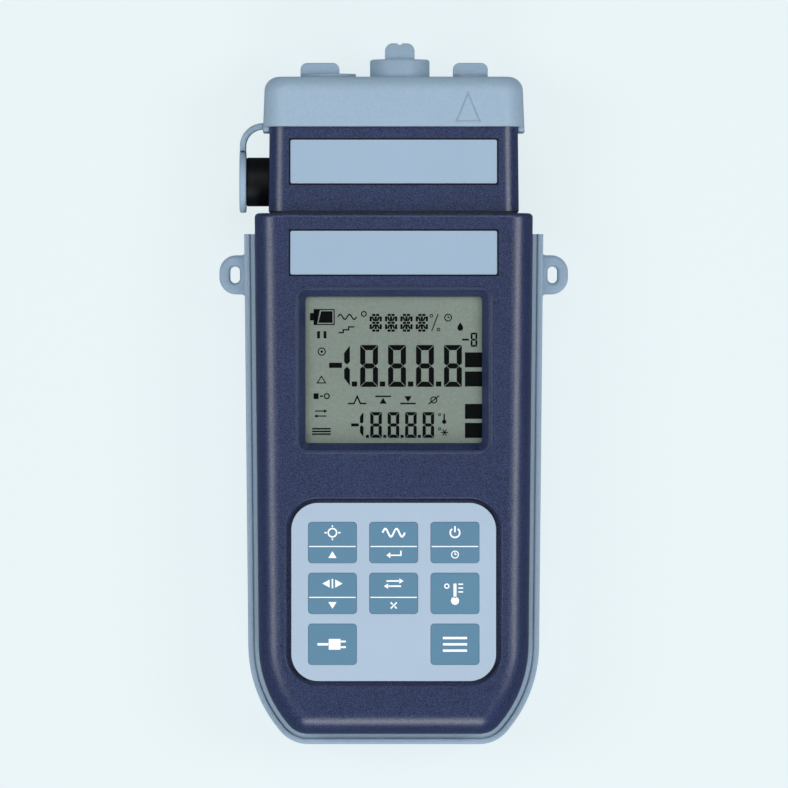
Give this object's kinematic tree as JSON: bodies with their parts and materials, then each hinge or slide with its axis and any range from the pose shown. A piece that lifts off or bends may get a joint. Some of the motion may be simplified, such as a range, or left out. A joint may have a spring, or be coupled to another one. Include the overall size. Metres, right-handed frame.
{
  "type": "portable ph meter",
  "caption": "Hand-held pH meter: navy case with display and membrane keypad, connector head with capped sockets, light blue rubber boot with strap loops.",
  "frame": {"origin": "on the floor, under the middle of the outline, with the meter lying on its back", "axes": "+Z out of the front, +Y towards the sockets, +X to the right as seen from the front"},
  "size_m": [0.098, 0.1966, 0.0404],
  "materials": {
    "navy_plastic": "fine grained, moulded",
    "blue_rubber": "matt, moulded",
    "plate_plastic": "satin, printed",
    "overlay_film": "satin film",
    "key_plastic": "satin film",
    "clear_window": "clear, polished",
    "lcd_glass": "polarising film",
    "black_plastic": "moulded",
    "seal_rubber": "matt",
    "circuit_board": "solder mask",
    "printed_film": "film",
    "nickel_plate": "nickel plated",
    "gold_plate": "gold plated",
    "white_insulator": "smooth",
    "brass": "turned",
    "steel": "plain",
    "cell_jacket": "shrunk film"
  },
  "bodies": {
    "root": {"battery_1": "cell_jacket", "battery_2": "cell_jacket", "battery_3": "cell_jacket", "battery_4": "cell_jacket", "battery_gasket": "seal_rubber", "battery_plates": "steel", "battery_springs": "steel", "bnc_contact": "gold_plate", "bnc_insulator": "white_insulator", "bnc_nut": "nickel_plate", "bnc_shell": "nickel_plate", "bnc_washer": "nickel_plate", "board_screws": "steel", "body_label": "plate_plastic", "case_inserts": "brass", "case_screws": "steel", "case_seal": "seal_rubber", "connector_head": "navy_plastic", "din_contacts": "gold_plate", "din_insert": "black_plastic", "din_shell": "nickel_plate", "display_window": "clear_window", "front_case": "navy_plastic", "head_cable": "printed_film", "head_cover": "blue_rubber", "head_gasket": "seal_rubber", "head_label": "plate_plastic", "keypad_circuit": "printed_film", "keypad_domes": "steel", "keypad_overlay": "overlay_film", "keypad_spacer": "printed_film", "lcd_frame": "black_plastic", "lcd_panel": "lcd_glass", "main_board": "circuit_board", "main_board_parts": "black_plastic", "plug_strap": "blue_rubber", "power_jack": "black_plastic", "power_jack_pin": "nickel_plate", "protective_boot": "blue_rubber", "rear_case": "navy_plastic", "serial_collar": "black_plastic", "serial_contacts": "gold_plate", "serial_insert": "black_plastic", "serial_leads": "printed_film", "socket_board": "circuit_board", "zebra_strips": "seal_rubber"},
    "key_up": {"key_up": "key_plastic"},
    "key_enter": {"key_enter": "key_plastic"},
    "key_power": {"key_power": "key_plastic"},
    "key_down": {"key_down": "key_plastic"},
    "key_escape": {"key_escape": "key_plastic"},
    "key_units": {"key_units": "key_plastic"},
    "key_serial": {"key_serial": "key_plastic"},
    "key_menu": {"key_menu": "key_plastic"},
    "bnc_cap": {"bnc_cap": "blue_rubber"},
    "temperature_plug": {"temperature_plug": "blue_rubber"},
    "power_plug": {"power_plug": "blue_rubber"},
    "serial_plug": {"serial_plug": "blue_rubber"},
    "battery_cover": {"battery_cover": "navy_plastic"},
    "battery_cover_screw": {"battery_cover_screw": "steel"}
  },
  "joints": [
    {"name": "key_up_press", "type": "slide", "parent": "root", "child": "key_up", "axis": [0, 0, -1], "range_m": [0, 0.00035], "stiffness_N_per_m": 400, "deforming": ["keypad_domes"]},
    {"name": "key_enter_press", "type": "slide", "parent": "root", "child": "key_enter", "axis": [0, 0, -1], "range_m": [0, 0.00035], "stiffness_N_per_m": 400, "deforming": ["keypad_domes"]},
    {"name": "key_power_press", "type": "slide", "parent": "root", "child": "key_power", "axis": [0, 0, -1], "range_m": [0, 0.00035], "stiffness_N_per_m": 400, "deforming": ["keypad_domes"]},
    {"name": "key_down_press", "type": "slide", "parent": "root", "child": "key_down", "axis": [0, 0, -1], "range_m": [0, 0.00035], "stiffness_N_per_m": 400, "deforming": ["keypad_domes"]},
    {"name": "key_escape_press", "type": "slide", "parent": "root", "child": "key_escape", "axis": [0, 0, -1], "range_m": [0, 0.00035], "stiffness_N_per_m": 400, "deforming": ["keypad_domes"]},
    {"name": "key_units_press", "type": "slide", "parent": "root", "child": "key_units", "axis": [0, 0, -1], "range_m": [0, 0.00035], "stiffness_N_per_m": 400, "deforming": ["keypad_domes"]},
    {"name": "key_serial_press", "type": "slide", "parent": "root", "child": "key_serial", "axis": [0, 0, -1], "range_m": [0, 0.00035], "stiffness_N_per_m": 400, "deforming": ["keypad_domes"]},
    {"name": "key_menu_press", "type": "slide", "parent": "root", "child": "key_menu", "axis": [0, 0, -1], "range_m": [0, 0.00035], "stiffness_N_per_m": 400, "deforming": ["keypad_domes"]},
    {"name": "bnc_cap_pull", "type": "slide", "parent": "root", "child": "bnc_cap", "axis": [0, 1, 0], "range_m": [0, 0.06]},
    {"name": "temperature_plug_pull", "type": "slide", "parent": "root", "child": "temperature_plug", "axis": [0, 1, 0], "range_m": [0, 0.06]},
    {"name": "power_plug_pull", "type": "slide", "parent": "root", "child": "power_plug", "axis": [0, 1, 0], "range_m": [0, 0.06]},
    {"name": "serial_plug_pull", "type": "slide", "parent": "root", "child": "serial_plug", "axis": [-1, 0, 0], "range_m": [0, 0.008], "deforming": ["plug_strap"]},
    {"name": "battery_cover_swing", "type": "hinge", "parent": "root", "child": "battery_cover", "pos_m": [0, -0.0131, 0.002], "axis": [1, 0, 0], "range_deg": [0, 45]},
    {"name": "battery_cover_screw_turn", "type": "hinge", "parent": "battery_cover", "child": "battery_cover_screw", "pos_m": [0, -0.0807, 0.002], "axis": [0, 0, 1], "continuous": true}
  ]
}
